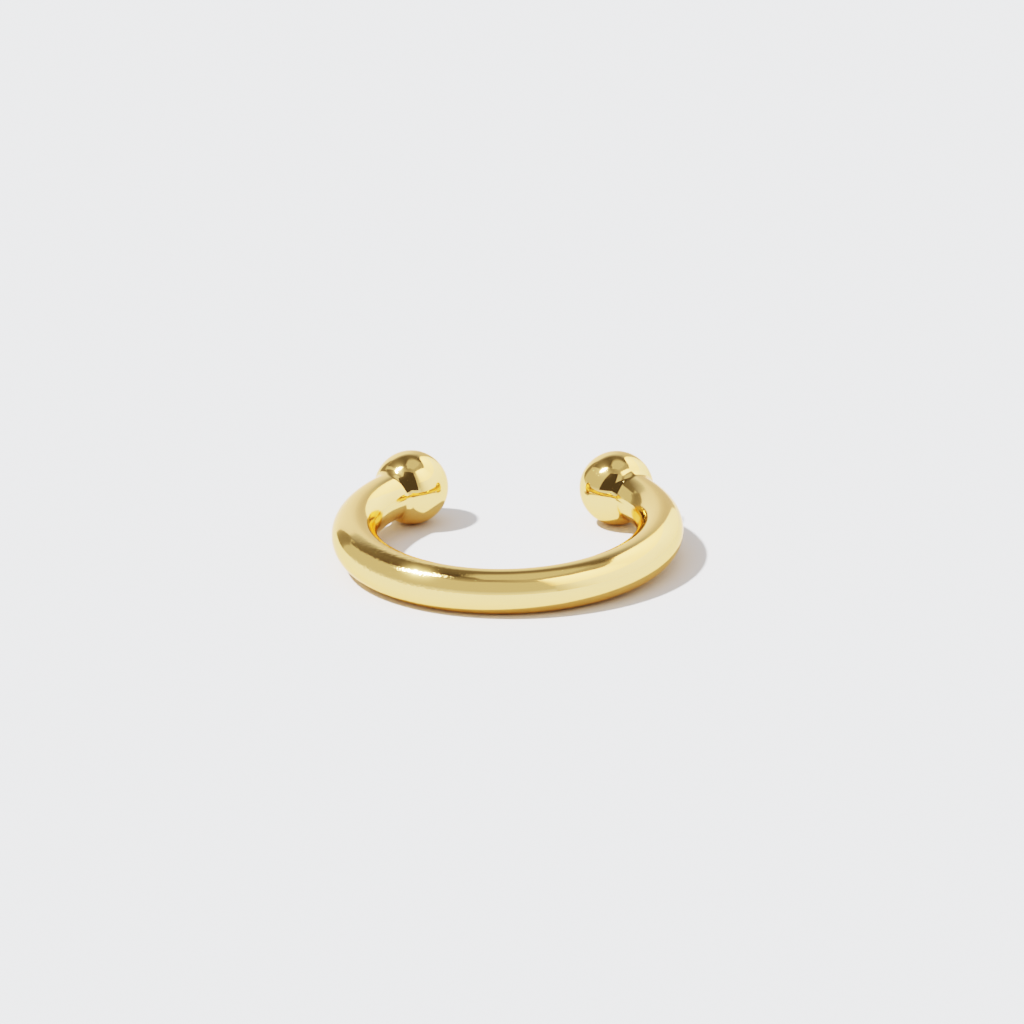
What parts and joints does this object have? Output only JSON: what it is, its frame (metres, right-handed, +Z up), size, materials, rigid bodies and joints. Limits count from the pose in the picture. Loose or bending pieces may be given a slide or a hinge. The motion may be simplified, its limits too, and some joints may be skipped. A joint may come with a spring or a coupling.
{
  "type": "ear cuff",
  "caption": "Open ring of round wire whose two ends run into balls, cast in one piece and polished, clipped over the rim of an ear.",
  "frame": {"origin": "on the surface the cuff lies on, under the middle of its outline", "axes": "+X across the ring, +Y towards its opening, +Z up from the surface"},
  "size_m": [0.012, 0.0112, 0.0025],
  "materials": {
    "gold": "polished pale yellow gold plate"
  },
  "bodies": {
    "root": {"cuff": "gold"}
  },
  "joints": []
}
